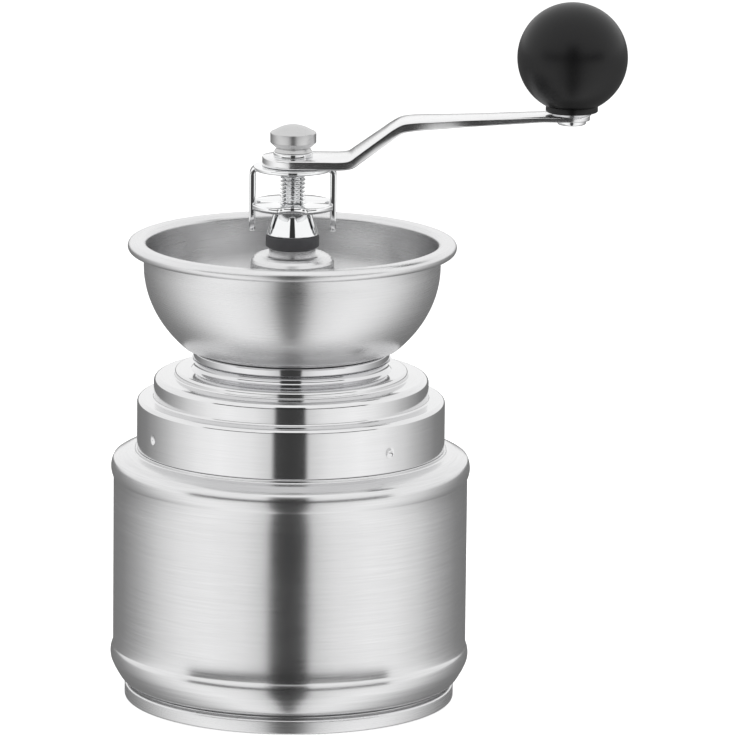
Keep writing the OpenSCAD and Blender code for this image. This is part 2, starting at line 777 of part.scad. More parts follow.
module knob_bush() {
    color([0.72, 0.56, 0.30]) translate([crank_reach, 0, 0])
        tube(insert_r, pin_r + running_fit, knob_z + 0.6, knob_z + 0.6 + insert_h);
}

canister_shell();
canister_base();
head_cover();
neck_ring();
hopper_bowl();
bridge();
upper_bush();
burr_housing();
outer_burr();
burr_retaining_ring();
lower_bridge();
lower_bush();
bridge_screws();
bridge_nuts();
spring_washer();
burr_spring();
adjusting_nut();
spindle();
inner_burr();
burr_washer();
burr_lock_washer();
burr_nut();
crank_arm();
cap_washer();
cap_nut();
knob_pin();
knob_washer();
stirrup();
knob();
knob_bush();
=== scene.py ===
"""Hand crank coffee grinder: detailed pieces, finishes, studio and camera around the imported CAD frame."""

import json
import math

import bmesh
import bpy
from mathutils import Matrix, Vector


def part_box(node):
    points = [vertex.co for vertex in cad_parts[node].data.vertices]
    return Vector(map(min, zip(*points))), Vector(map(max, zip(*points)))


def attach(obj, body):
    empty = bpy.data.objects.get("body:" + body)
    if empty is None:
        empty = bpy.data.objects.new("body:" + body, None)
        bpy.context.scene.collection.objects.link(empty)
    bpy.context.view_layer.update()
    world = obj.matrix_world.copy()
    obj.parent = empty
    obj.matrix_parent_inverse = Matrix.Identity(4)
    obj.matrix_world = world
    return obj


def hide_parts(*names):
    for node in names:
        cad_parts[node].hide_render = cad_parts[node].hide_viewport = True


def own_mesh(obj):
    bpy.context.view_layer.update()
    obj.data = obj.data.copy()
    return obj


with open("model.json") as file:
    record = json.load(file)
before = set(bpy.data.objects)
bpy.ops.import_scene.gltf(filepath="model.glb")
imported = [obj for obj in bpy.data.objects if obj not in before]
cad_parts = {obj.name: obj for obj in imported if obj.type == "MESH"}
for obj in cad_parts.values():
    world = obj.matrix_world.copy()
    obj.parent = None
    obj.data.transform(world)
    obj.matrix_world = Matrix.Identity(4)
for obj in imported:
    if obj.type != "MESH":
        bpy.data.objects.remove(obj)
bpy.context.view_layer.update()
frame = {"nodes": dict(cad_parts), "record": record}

MM = 0.001
SEGMENTS = 192  # round pieces
FINE_SEGMENTS = 96  # small round pieces


# ---------------------------------------------------------------- outlines, in millimetres


def arc(centre, radius, start, end, steps):
    """Points of an arc about centre, angles in degrees."""
    points = []
    for i in range(steps + 1):
        a = math.radians(start + (end - start) * i / steps)
        points.append((centre[0] + radius * math.cos(a), centre[1] + radius * math.sin(a)))
    return points


def rounded(corners, steps=5):
    """A closed outline whose corners (r, z, fillet radius) are rounded off."""
    out = []
    count = len(corners)
    for i, (x, z, radius) in enumerate(corners):
        here = Vector((x, z))
        before = Vector(corners[i - 1][:2]) - here
        after = Vector(corners[(i + 1) % count][:2]) - here
        if radius <= 0 or before.length < 1e-6 or after.length < 1e-6:
            out.append((x, z))
            continue
        angle = before.angle(after)
        reach = min(radius / math.tan(angle / 2), before.length * 0.49, after.length * 0.49)
        p, q = here + before.normalized() * reach, here + after.normalized() * reach
        for k in range(steps + 1):
            t = k / steps
            point = p * (1 - t) ** 2 + here * 2 * t * (1 - t) + q * t * t
            out.append((point.x, point.y))
    return out


def spline(points, steps=6):
    """A smooth open line through the points."""
    out = []
    pts = [Vector(p) for p in points]
    for i in range(len(pts) - 1):
        p0, p1, p2, p3 = pts[max(i - 1, 0)], pts[i], pts[i + 1], pts[min(i + 2, len(pts) - 1)]
        for k in range(steps):
            t = k / steps
            v = 0.5 * (
                2 * p1 + (p2 - p0) * t + (2 * p0 - 5 * p1 + 4 * p2 - p3) * t * t
                + (3 * p1 - p0 - 3 * p2 + p3) * t ** 3
            )
            out.append((v.x, v.y))
    out.append(tuple(points[-1]))
    return out


# ---------------------------------------------------------------- meshes


def new_object(name, verts, faces, scale=MM):
    mesh = bpy.data.meshes.new(name)
    mesh.from_pydata([Vector(v) * scale for v in verts], [], faces)
    mesh.validate()
    obj = bpy.data.objects.new(name, mesh)
    bpy.context.scene.collection.objects.link(obj)
    work = bmesh.new()
    work.from_mesh(mesh)
    bmesh.ops.remove_doubles(work, verts=work.verts, dist=1e-7)
    bmesh.ops.recalc_face_normals(work, faces=work.faces)
    work.to_mesh(mesh)
    work.free()
    return obj


def smooth(obj, angle=32):
    """Smooth shading, with creases kept where faces meet at more than the angle."""
    mesh = obj.data
    work = bmesh.new()
    work.from_mesh(mesh)
    limit = math.radians(angle)
    for face in work.faces:
        face.smooth = True
    for edge in work.edges:
        edge.smooth = len(edge.link_faces) != 2 or edge.calc_face_angle(0) < limit
    work.to_mesh(mesh)
    work.free()


def lathe(name, outline, segments=SEGMENTS, centre=(0, 0), angles=None):
    """A closed outline of (r, z) in millimetres, turned about a vertical axis at centre."""
    angles = angles or [360 * i / segments for i in range(segments)]
    verts, rows = [], []
    for r, z in outline:
        if r < 1e-4:
            rows.append([len(verts)] * len(angles))
            verts.append((centre[0], centre[1], z))
            continue
        row = []
        for a in angles:
            row.append(len(verts))
            verts.append((centre[0] + r * math.sin(math.radians(a)),
                          centre[1] - r * math.cos(math.radians(a)), z))
        rows.append(row)
    faces = []
    turn = len(angles)
    for i in range(len(outline)):
        a, b = rows[i], rows[(i + 1) % len(outline)]
        if a[0] == a[1] and b[0] == b[1]:
            continue
        for k in range(turn):
            m = (k + 1) % turn
            corners = [a[k], a[m], b[m], b[k]]
            unique = list(dict.fromkeys(corners))
            if len(unique) > 2:
                faces.append(unique)
    obj = new_object(name, verts, faces)
    smooth(obj)
    return obj


def sweep(name, path, radius, sides=12):
    """A round wire along a path in millimetres, with closed ends."""
    verts, faces = [], []
    points = [Vector(p) for p in path]
    up = Vector((0, 0, 1))
    for i, p in enumerate(points):
        ahead = (points[min(i + 1, len(points) - 1)] - points[max(i - 1, 0)]).normalized()
        side = ahead.cross(up).normalized()
        top = side.cross(ahead)
        for k in range(sides):
            a = 2 * math.pi * k / sides
            verts.append(p + side * radius * math.cos(a) + top * radius * math.sin(a))
    for i in range(len(points) - 1):
        for k in range(sides):
            a, b = i * sides + k, i * sides + (k + 1) % sides
            faces.append([a, b, b + sides, a + sides])
    faces.append(list(range(sides)))
    faces.append([len(verts) - 1 - k for k in range(sides)])
    obj = new_object(name, verts, faces)
    smooth(obj, 60)
    return obj


def bevelled(obj, width, segments=3, angle=30):
    """Rounds the edges of obj by width millimetres."""
    mod = obj.modifiers.new("edges", "BEVEL")
    mod.width = width * MM
    mod.segments = segments
    mod.limit_method = "ANGLE"
    mod.angle_limit = math.radians(angle)
    mod.harden_normals = True
    for poly in obj.data.polygons:
        poly.use_smooth = True
    return obj


def cut(obj, tool):
    """Takes tool's volume out of obj and removes the tool."""
    mod = obj.modifiers.new("cut", "BOOLEAN")
    mod.operation = "DIFFERENCE"
    mod.object = tool
    mod.solver = "EXACT"
    bpy.context.view_layer.update()
    done = bpy.data.meshes.new_from_object(
        obj.evaluated_get(bpy.context.evaluated_depsgraph_get()))
    obj.modifiers.clear()
    obj.data = done
    bpy.data.objects.remove(tool)


# ---------------------------------------------------------------- materials


class Nodes:
    """A short way to write a node tree."""

    def __init__(self, name):
        self.material = bpy.data.materials.new(name)
        self.material.use_nodes = True
        self.tree = self.material.node_tree
        self.shader = self.tree.nodes["Principled BSDF"]

    def add(self, kind, **inputs):
        node = self.tree.nodes.new(kind)
        for key, value in inputs.items():
            name = key.replace("_", " ")
            if hasattr(node, key) and name not in node.inputs:
                setattr(node, key, value)
            elif isinstance(value, bpy.types.NodeSocket):
                self.tree.links.new(value, node.inputs[name])
            else:
                node.inputs[name].default_value = value
        return node

    def math(self, operation, a, b=0.0, clamp=False):
        node = self.tree.nodes.new("ShaderNodeMath")
        node.operation = operation
        node.use_clamp = clamp
        for socket, value in zip(node.inputs, (a, b)):
            if isinstance(value, bpy.types.NodeSocket):
                self.tree.links.new(value, socket)
            else:
                socket.default_value = value
        return node.outputs[0]

    def mix(self, factor, low, high):
        node = self.tree.nodes.new("ShaderNodeMix")
        node.data_type = "RGBA"
        self.tree.links.new(factor, node.inputs[0])
        node.inputs[6].default_value = (*low, 1)
        node.inputs[7].default_value = (*high, 1)
        return node.outputs[2]

    def span(self, value, low, high, out_low, out_high):
        node = self.tree.nodes.new("ShaderNodeMapRange")
        self.tree.links.new(value, node.inputs[0])
        for i, number in enumerate((low, high, out_low, out_high)):
            node.inputs[i + 1].default_value = number
        return node.outputs[0]

    def noise(self, vector, scale, detail=2.0, roughness=0.5):
        node = self.tree.nodes.new("ShaderNodeTexNoise")
        self.tree.links.new(vector, node.inputs["Vector"])
        node.inputs["Scale"].default_value = scale
        node.inputs["Detail"].default_value = detail
        node.inputs["Roughness"].default_value = roughness
        return node.outputs[0]

    def link(self, value, name):
        self.tree.links.new(value, self.shader.inputs[name])

    def set(self, **values):
        for key, value in values.items():
            name = key.replace("_", " ")
            if isinstance(value, tuple):
                value = (*value, 1)
            self.shader.inputs[name].default_value = value

    def place(self):
        """Object coordinates, in metres."""
        return self.tree.nodes.new("ShaderNodeTexCoord").outputs["Object"]

    def bump(self, height, strength, distance):
        node = self.tree.nodes.new("ShaderNodeBump")
        node.inputs["Strength"].default_value = strength
        node.inputs["Distance"].default_value = distance
        self.tree.links.new(height, node.inputs["Height"])
        self.link(node.outputs[0], "Normal")


def round_streaks(nodes, along, across, centre=(0, 0)):
    """Coordinates stretched round the vertical axis at centre, for brushing that follows a turned piece."""
    xyz = nodes.tree.nodes.new("ShaderNodeSeparateXYZ")
    nodes.tree.links.new(nodes.place(), xyz.inputs[0])
    x = nodes.math("SUBTRACT", xyz.outputs[0], centre[0])
    y = nodes.math("SUBTRACT", xyz.outputs[1], centre[1])
    r = nodes.math("SQRT", nodes.math("ADD", nodes.math("MULTIPLY", x, x), nodes.math("MULTIPLY", y, y)))
    safe = nodes.math("MAXIMUM", r, 1e-4)
    depth = nodes.math("ADD", nodes.math("MULTIPLY", xyz.outputs[2], across), nodes.math("MULTIPLY", r, across))
    joined = nodes.tree.nodes.new("ShaderNodeCombineXYZ")
    for socket, value in zip(joined.inputs, (
            nodes.math("MULTIPLY", nodes.math("DIVIDE", x, safe), along),
            nodes.math("MULTIPLY", nodes.math("DIVIDE", y, safe), along), depth)):
        nodes.tree.links.new(value, socket)
    return joined.outputs[0]


def turned_metal(name, colour, rough, spread, streak, anisotropy, bump=0.12, centre=(0, 0)):
    """Metal brushed round its axis: fine streaks in colour, roughness and height, and faint smudges."""
    n = Nodes(name)
    fine = n.noise(round_streaks(n, 3.0, 9000.0, centre), 1.0, 3.0, 0.65)
    broad = n.noise(round_streaks(n, 1.6, 900.0, centre), 1.0, 2.0, 0.5)
    smudge = n.noise(n.place(), 38.0, 3.0, 0.55)
    lines = n.math("ADD", n.math("MULTIPLY", fine, 0.8), n.math("MULTIPLY", broad, 0.2))
    darker = tuple(c * (1 - streak) for c in colour)
    n.link(n.mix(n.span(lines, 0.35, 0.65, 0.0, 1.0), darker, colour), "Base Color")
    wear = n.math("MULTIPLY", n.span(smudge, 0.4, 0.7, 0.0, 1.0), spread * 0.5)
    n.link(n.math("ADD", n.span(lines, 0.3, 0.7, rough - spread / 2, rough + spread / 2), wear), "Roughness")
    n.bump(fine, bump, 0.00002)
    n.set(Metallic=1.0, Anisotropic=anisotropy, Anisotropic_Rotation=0.25)
    tangent = n.tree.nodes.new("ShaderNodeTangent")
    tangent.direction_type = "RADIAL"
    tangent.axis = "Z"
    n.link(tangent.outputs[0], "Tangent")
    return n.material


def bright_metal(name, colour, rough, waviness=0.05, grain=220.0):
    """Polished or plated metal with a faint waviness, hairline scratches and slightly duller patches."""
    n = Nodes(name)
    place = n.place()
    ripple = n.noise(place, grain, 2.0, 0.5)
    scratch_map = n.tree.nodes.new("ShaderNodeMapping")
    scratch_map.inputs["Scale"].default_value = (900.0, 5200.0, 5200.0)
    n.tree.links.new(place, scratch_map.inputs["Vector"])
    scratch = n.noise(scratch_map.outputs[0], 1.0, 2.0, 0.6)
    patch = n.noise(place, 70.0, 3.0, 0.55)
    dull = tuple(c * 0.95 for c in colour)
    n.link(n.mix(n.span(patch, 0.35, 0.7, 0.0, 1.0), colour, dull), "Base Color")
    n.link(n.math("ADD", n.span(patch, 0.3, 0.75, rough * 0.7, rough * 1.5),
                  n.span(scratch, 0.55, 0.8, 0.0, rough * 0.6)), "Roughness")
    n.bump(n.math("ADD", n.math("MULTIPLY", ripple, 0.8), n.math("MULTIPLY", scratch, 0.2)), waviness, 0.0002)
    n.set(Metallic=1.0)
    return n.material


def plastic(name, colour, lighter, rough, grain_scale, grain, index=1.5):
    """Moulded plastic with a fine grain, mottled tone and handling wear."""
    n = Nodes(name)
    place = n.place()
    mottle = n.noise(place, 55.0, 3.0, 0.6)
    pores = n.noise(place, grain_scale, 2.0, 0.6)
    n.link(n.mix(n.span(mottle, 0.3, 0.75, 0.0, 1.0), colour, lighter), "Base Color")
    n.link(n.math("ADD", n.span(mottle, 0.3, 0.7, rough * 0.88, rough * 1.15),
                  n.span(pores, 0.4, 0.7, 0.0, 0.05)), "Roughness")
    n.bump(pores, grain, 0.00006)
    n.set(Metallic=0.0, IOR=index)
    return n.material


def ceramic_material():
    n = Nodes("ceramic")
    place = n.place()
    mottle = n.noise(place, 90.0, 4.0, 0.6)
    pits = n.noise(place, 2600.0, 2.0, 0.55)
    n.link(n.mix(n.span(mottle, 0.3, 0.7, 0.0, 1.0), (0.86, 0.84, 0.79), (0.92, 0.90, 0.86)), "Base Color")
    n.link(n.span(pits, 0.3, 0.7, 0.38, 0.62), "Roughness")
    n.bump(pits, 0.25, 0.00005)
    n.set(Metallic=0.0, IOR=1.6)
    return n.material


FINISH = {
    "brushed_steel": turned_metal("brushed_steel", (0.74, 0.74, 0.745), 0.20, 0.08, 0.12, 0.5),
    "head_steel": turned_metal("head_steel", (0.74, 0.74, 0.745), 0.10, 0.05, 0.07, 0.3, 0.07),
    "polished_steel": turned_metal("polished_steel", (0.74, 0.74, 0.745), 0.27, 0.08, 0.08, 0.25, 0.10),
    "polished_ring": turned_metal("polished_ring", (0.70, 0.70, 0.71), 0.07, 0.04, 0.04, 0.2, 0.04),
    "chrome": bright_metal("chrome", (0.84, 0.845, 0.85), 0.05),
    "satin_chrome": bright_metal("satin_chrome", (0.80, 0.80, 0.805), 0.15),
    "satin_nickel": turned_metal("satin_nickel", (0.60, 0.60, 0.60), 0.30, 0.10, 0.06, 0.0, 0.05),
    "hardware_steel": bright_metal("hardware_steel", (0.62, 0.62, 0.63), 0.2, 0.12, 600.0),
    "ceramic": ceramic_material(),
    "housing_plastic": plastic("housing_plastic", (0.030, 0.030, 0.032), (0.042, 0.042, 0.044), 0.5, 2400.0, 0.3),
    "dark_nylon": plastic("dark_nylon", (0.050, 0.050, 0.054), (0.066, 0.066, 0.070), 0.42, 2600.0, 0.2),
    "black_knob": plastic("black_knob", (0.0015, 0.0015, 0.0018), (0.003, 0.003, 0.0034), 0.33, 3200.0, 0.06, 1.38),
    "brass": bright_metal("brass", (0.78, 0.58, 0.28), 0.16, 0.1, 500.0),
}


def finish_piece(obj, body, node, slot, finish=None):
    """Gives a piece its finish, sets it on its body and lets it stand for its CAD node."""
    obj.data.materials.clear()
    obj.data.materials.append(FINISH[finish or slot])
    for poly in obj.data.polygons:
        poly.material_index = 0
    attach(obj, body)
    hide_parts(node)
    return obj


def height(node):
    """Lowest and highest point of a CAD node, in millimetres."""
    low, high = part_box(node)
    return low.z / MM, high.z / MM


def radius(node):
    low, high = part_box(node)
    return (high.x - low.x) / 2 / MM


# ---------------------------------------------------------------- canister

SHEET = 0.8
BEAD_OUT = 0.8
BEAD_H = 6.2
FOOT_R = radius("canister_base")
CAN_R = radius("canister_shell") - BEAD_OUT
THROAT_R = 16.5
COLLAR_R = radius("head_cover")
FLARE_H = 6.0


def bead(z, inset=0.0, steps=12):
    """A bead that starts at height z and swells out of the canister wall."""
    swell = (BEAD_H ** 2 / 4 + BEAD_OUT ** 2) / (2 * BEAD_OUT)
    half = math.degrees(math.asin(BEAD_H / 2 / swell))
    points = arc((CAN_R + BEAD_OUT - swell, z + BEAD_H / 2), swell, -half, half, steps)
    return [(r - inset, h) for r, h in points]


def make_canister():
    base, top = height("canister_shell")
    low_bead = base + FLARE_H
    high_bead = top - 3.2 - BEAD_H
    lip_r = COLLAR_R + 0.5
    bore = COLLAR_R - 0.9
    flare = spline([(FOOT_R - 0.4, base + 0.35), (FOOT_R + 1.3, base + 1.7), (CAN_R - 0.75, low_bead - 1.5),
                    (CAN_R, low_bead)], 6)
    shoulder = spline([(CAN_R, high_bead + BEAD_H), (CAN_R - 1.25, high_bead + BEAD_H + 0.75),
                       (lip_r + 3, high_bead + BEAD_H + 1.75), (lip_r + 0.5, high_bead + BEAD_H + 2.1),
                       (lip_r, top - 0.8)], 6)
    wall = [(CAN_R, low_bead + BEAD_H + (high_bead - low_bead - BEAD_H) * i / 8) for i in range(1, 8)]
    outer = [(0, base), (FOOT_R - 1.2, base), (FOOT_R - 0.7, base + 0.1)] + flare
    outer += bead(low_bead)[1:] + wall + bead(high_bead) + shoulder[1:]
    outer += [(lip_r, top - 0.15), (lip_r - 0.15, top), (bore + 0.15, top), (bore, top - 0.15)]
    inner = [(bore, top - 1.7), (bore + 0.3, top - 2.1), (lip_r + 2.6, top - 2.3), (CAN_R - 1.8, top - 3.5)]
    inner += bead(high_bead, SHEET)[::-1] + bead(low_bead, SHEET)[::-1]
    inner += [(CAN_R - 1.5, low_bead - 1.5), (FOOT_R + 0.3, base + 1.9), (FOOT_R - 1.6, base + SHEET),
              (0, base + SHEET)]
    shell = lathe("canister_shell_skin", outer + inner, 256)
    finish_piece(shell, "canister", "canister_shell", "brushed_steel")

    foot_top = 4.7
    profile = rounded([
        (0, 0, 0), (FOOT_R, 0, 0.8), (FOOT_R, foot_top, 0.9), (FOOT_R - 2.1, foot_top, 0.2),
        (FOOT_R - 2.1, base, 0.1), (FOOT_R - 3.1, base, 0.1), (FOOT_R - 3.1, 1, 0.3), (0, 1, 0),
    ])
    finish_piece(lathe("canister_base_skin", profile, 256), "canister", "canister_base", "polished_steel")


# ---------------------------------------------------------------- head

DIMPLES = (-62, 40, 169)
DIMPLE_UP = 6.6
DIMPLE_SIZE = 1.75
DIMPLE_DEPTH = 0.75
RING_R = 31.2


def dimple_angles(base_step=1.5, fine_step=0.2, reach=3.0):
    """Angles round the collar, closer together across each dimple."""
    angles = {round(i * base_step, 3) for i in range(int(360 / base_step))}
    for centre in DIMPLES:
        at = centre % 360
        angles = {a for a in angles if abs(a - at) > reach + 0.2}
        angles |= {round((at + i * fine_step) % 360, 3) for i in range(-15, 16)}
    return sorted(angles)


def make_head_cover():
    low, deck = height("head_cover")
    seat = low + 8
    collar_top = seat + 16.1
    big_top = collar_top + 7.2
    small_r = RING_R + 5.9
    big_r = small_r + 6.7
    spigot = COLLAR_R - 1.15
    rows = [(COLLAR_R, seat + 0.9 + i * 0.3) for i in range(int((collar_top - seat - 3) / 0.3))]
    profile = [(spigot - 0.3, low), (spigot, low + 0.3), (spigot, seat - 0.02), (COLLAR_R - 0.35, seat)]
    profile += arc((COLLAR_R - 0.35, seat + 0.35), 0.35, -60, 0, 4) + rows
    profile += arc((COLLAR_R - 1.5, collar_top - 1.5), 1.5, 0, 90, 10)
    profile += arc((big_r + 0.7, collar_top + 0.7), 0.7, 270, 180, 6)
    profile += [(big_r, collar_top + 1.2 + i * 0.9) for i in range(5)]
    profile += arc((big_r - 2, big_top - 2), 2, 0, 90, 12)
    profile += arc((small_r + 0.45, big_top + 0.45), 0.45, 270, 180, 5)
    profile += arc((small_r - 1, deck - 1), 1, 0, 90, 8)
    profile += [(THROAT_R + 0.2, deck), (THROAT_R, deck - 0.2), (THROAT_R, deck - SHEET)]
    profile += rounded([
        (small_r - SHEET, deck - SHEET, 0.6), (small_r - SHEET, big_top - SHEET, 0.4),
        (big_r - SHEET, big_top - SHEET, 1.4), (big_r - SHEET, collar_top - SHEET, 0.4),
        (spigot - SHEET, collar_top - SHEET, 1.0), (spigot - SHEET, low, 0.1),
    ], 4)
    cover = lathe("head_cover_skin", profile, angles=dimple_angles())
    for vertex in cover.data.vertices:
        x, y, z = vertex.co / MM
        r = math.hypot(x, y)
        if r < COLLAR_R - 0.05 or z < seat + 1:
            continue
        for angle in DIMPLES:
            a = math.radians(angle)
            side = x * math.cos(a) + y * math.sin(a)
            if x * math.sin(a) - y * math.cos(a) < 0:
                continue
            away = math.hypot(side, z - seat - DIMPLE_UP) / DIMPLE_SIZE
            if away < 1:
                push = 1 - DIMPLE_DEPTH * (1 - away ** 2) ** 2 / r
                vertex.co.x *= push
                vertex.co.y *= push
    finish_piece(cover, "head", "head_cover", "brushed_steel", "head_steel")


def make_neck_ring():
    base, top = height("neck_ring")
    cove = (top - base - 2.8) / 2
    profile = [(THROAT_R, base), (RING_R + 0.7, base)]
    profile += arc((RING_R + 0.8, base + cove + 0.3), cove, 250, 100, 14)
    profile += arc((RING_R - 0.6, top - 2.2), 0.6, -90, 0, 5)
    profile += arc((RING_R - 0.6, top - 0.6), 0.6, 0, 90, 5)
    profile += [(THROAT_R, top)]
    finish_piece(lathe("neck_ring_skin", profile), "head", "neck_ring", "polished_ring")


def make_bowl():
    base, top = height("hopper_bowl")
    rim_r = radius("hopper_bowl")
    wall_r = rim_r - 5.1
    rim_h = 3.6
    belly_z = top - 8
    deep = (belly_z - base) * 1.38
    floor_r = RING_R - 1

    def belly(inset):
        a, c = wall_r - inset, deep - inset
        start = -math.asin((belly_z - base - 1.5 - inset) / c)
        return [(a * math.cos(start * (1 - i / 26)), belly_z + c * math.sin(start * (1 - i / 26)))
                for i in range(27)]

    half = rim_h / 2
    rim = arc((rim_r - half, top - half), half, -90, 90, 14)
    rim += arc((wall_r - SHEET + half, top - half), half, 90, 180, 8)
    outer = [(THROAT_R, base), (floor_r - 0.4, base), (floor_r + 0.7, base + 0.3)] + belly(0)
    outer += [(wall_r, top - rim_h - 0.5), (wall_r + 0.12, top - rim_h - 0.15), (wall_r + 0.5, top - rim_h)]
    inner = belly(SHEET)[::-1] + [(floor_r - 0.9, base + SHEET + 0.05), (THROAT_R + 0.2, base + SHEET),
                                  (THROAT_R, base + SHEET - 0.2)]
    bowl = lathe("hopper_bowl_skin", outer + rim + inner, 256)
    finish_piece(bowl, "head", "hopper_bowl", "polished_steel")


def make_upper_bush():
    base, top = height("upper_bush")
    wide = radius("upper_bush")
    bore = 4.05
    seat = base + 5.6
    profile = rounded([
        (bore, base, 0.1), (5.6, base, 0.3), (5.6, seat, 0.05), (wide - 1.2, seat, 0.15),
        (wide, seat + 0.8, 0.25), (wide, top, 0.35), (bore, top, 0.15),
    ], 4)
    finish_piece(lathe("upper_bush_skin", profile, FINE_SEGMENTS), "head", "upper_bush", "dark_nylon")


# ---------------------------------------------------------------- spindle, nut, caps, knob

PITCH = 1.25
SPIN_R = 4.0


def make_spindle():
    """The spindle with a true helical thread above the bush and a smaller one under the burr."""
    base, top = height("spindle")
    shoulder = height("stirrup")[1] - 1.3
    nut_base = height("adjusting_nut")[0]
    turn, rows = 64, []
    core = SPIN_R - 0.62 * PITCH
    z = nut_base + 0.4
    steps = int((shoulder - 0.3 - z) / (PITCH / 12))

    def thread_r(height_mm, angle, big, deep, pitch):
        t = ((height_mm - angle / (2 * math.pi) * pitch) / pitch) % 1.0
        crest = max(0.0, 1 - abs(t - 0.5) / 0.5)
        return big - deep + deep * min(1.0, crest * 1.25)

    rows.append((0, base, None))
    for i in range(33):
        h = base + 0.05 + i * 0.25
        rows.append((3.0 - (0.45 if i == 0 else 0.0), h, (3.0, 0.45, 1.0)))
    burr_low = height("inner_burr")[0]
    burr_high = height("inner_burr")[1]
    rows += [(3.0, burr_low + 0.1, None), (2.9, burr_low + 0.2, None), (SPIN_R - 0.2, burr_low + 0.25, "flat"),
             (SPIN_R, burr_low + 0.5, "flat"), (SPIN_R, burr_high, "flat"), (SPIN_R, burr_high + 0.01, None),
             (SPIN_R, z - 0.3, None)]
    for i in range(steps):
        h = z + i * PITCH / 12
        rows.append((SPIN_R, h, (SPIN_R, SPIN_R - core, PITCH)))
    rows += [(SPIN_R, shoulder - 0.2, None), (SPIN_R - 0.3, shoulder, None), (3.6, shoulder + 0.01, "hub"),
             (3.6, height("crank_arm")[0] + 2.6, "hub"), (2.68, height("crank_arm")[0] + 2.65, None),
             (2.68, top - 0.4, None), (2.3, top, None), (0, top, None)]
    verts, faces, index = [], [], []
    for r, h, kind in rows:
        if r == 0:
            index.append([len(verts)] * turn)
            verts.append((0, 0, h))
            continue
        line = []
        for k in range(turn):
            a = 2 * math.pi * k / turn
            rr = r
            if isinstance(kind, tuple):
                rr = thread_r(h, a, *kind)
            x, y = rr * math.cos(a), rr * math.sin(a)
            if kind == "flat":
                x = max(-2.9, min(2.9, x))
            if kind == "hub":
                x = max(-2.7, min(2.7, x))
            line.append(len(verts))
            verts.append((x, y, h))
        index.append(line)
    for a, b in zip(index, index[1:]):
        for k in range(turn):
            m = (k + 1) % turn
            corners = list(dict.fromkeys([a[k], a[m], b[m], b[k]]))
            if len(corners) > 2:
                faces.append(corners)
    obj = new_object("spindle_thread", verts, faces)
    smooth(obj, 40)
    finish_piece(obj, "spindle", "spindle", "chrome")


def make_adjusting_nut():
    """Cone and four-lobed wheel with rounded edges."""
    base, top = height("adjusting_nut")
    wheel = top - 2
    wide = 13.6
    cone = rounded([
        (4.05, base, 0.1), (8.4, base, 0.25), (5.4, wheel + 0.2, 0.2), (4.05, wheel + 0.2, 0.05),
    ], 4)
    body = lathe("adjusting_nut_skin", cone, FINE_SEGMENTS)
    outline = []
    notch_c, notch_r = wide + 0.2 + 1.5, 5.0
    for i in range(360):
        a = math.radians(i)
        nearest = min((abs(((i - q) + 180) % 360 - 180), q) for q in (0, 90, 180, 270))
        off = math.radians(nearest[0])
        inside = notch_r ** 2 - (notch_c * math.sin(off)) ** 2
        reach = wide
        if inside > 0:
            reach = min(wide, notch_c * math.cos(off) - math.sqrt(inside))
        reach = min(reach, wide)
        outline.append((reach * math.cos(a), reach * math.sin(a)))
    for _ in range(3):
        outline = [tuple((outline[k - 1][j] + 2 * p[j] + outline[(k + 1) % 360][j]) / 4 for j in (0, 1))
                   for k, p in enumerate(outline)]
    verts, faces = [], []
    layers = [(0.55, 0.0), (0.15, 0.12), (0.0, 0.45), (0.0, 1.55), (0.15, 1.88), (0.55, 2.0)]
    for inset, up in layers:
        for x, y in outline:
            r = math.hypot(x, y)
            verts.append((x * (r - inset) / r, y * (r - inset) / r, wheel + up))
    for r, up in ((5.0, 2.0), (4.6, 1.9), (4.05, 1.35), (4.05, 0.0)):
        for i in range(360):
            a = math.radians(i)
            verts.append((r * math.cos(a), r * math.sin(a), wheel + up))
    count = len(layers) + 4
    for j in range(count):
        a, b = j * 360, ((j + 1) % count) * 360
        for k in range(360):
            m = (k + 1) % 360
            faces.append([a + k, a + m, b + m, b + k])
    lobes = new_object("adjusting_nut_wheel", verts, faces)
    smooth(lobes, 35)
    finish_piece(body, "adjusting_nut", "adjusting_nut", "chrome")
    finish_piece(lobes, "adjusting_nut", "adjusting_nut", "chrome")


def make_caps():
    base, top = height("cap_washer")
    wide = radius("cap_washer")
    ring = rounded([(2.8, base, 0.05), (wide, base, 0.2), (wide, top, 0.35), (2.8, top, 0.05)], 4)
    finish_piece(lathe("cap_washer_skin", ring, FINE_SEGMENTS), "spindle", "cap_washer", "chrome")
    base, top = height("cap_nut")
    wide = radius("cap_nut")
    skirt = base + 1.2
    band = skirt + 1.8
    profile = [(0, base), (5.8, base), (6.0, base + 0.2)]
    profile += [(5.42, skirt - 0.15), (5.38, skirt), (5.45, skirt + 0.15), (wide - 0.2, band - 0.15)]
    profile += arc((wide - 0.35, band + 0.25), 0.35, -30, 0, 3)
    profile += arc((wide - 0.5, band + 2.95), 0.5, 0, 60, 4)
    crown = band + 3.35
    ball = ((wide - 0.6) ** 2 + (top - crown) ** 2) / (2 * (top - crown))
    for i in range(1, 13):
        r = (wide - 0.6) * (1 - i / 12)
        profile.append((r, top - ball + math.sqrt(ball ** 2 - r * r)))
    finish_piece(lathe("cap_nut_skin", profile, FINE_SEGMENTS), "spindle", "cap_nut", "chrome", "satin_nickel")


